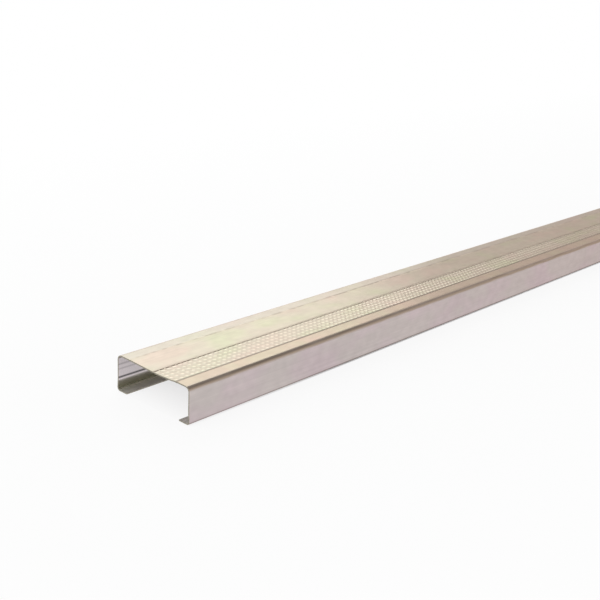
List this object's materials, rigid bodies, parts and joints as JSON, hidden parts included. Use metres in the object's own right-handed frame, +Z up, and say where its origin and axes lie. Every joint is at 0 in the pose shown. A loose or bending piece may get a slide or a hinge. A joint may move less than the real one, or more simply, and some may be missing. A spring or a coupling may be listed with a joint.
{
  "type": "ceiling furring channel",
  "caption": "Lipped C channel of thin galvanised steel with a grooved web, creased flanges and inturned lips; furring stock that carries ceiling board and hangs from clips.",
  "frame": {"origin": "centre of the channel's length and width, on the floor plane that its lips lie on", "axes": "+X along the stock, +Y across the web, +Z up from the lips to the web's face"},
  "size_m": [3, 0.047, 0.017],
  "materials": {
    "galvanised_steel": "hot-dip galvanised sheet, dull silver with a warm cast and faint rolling streaks"
  },
  "bodies": {
    "root": {"furring_channel": "galvanised_steel"}
  },
  "joints": []
}
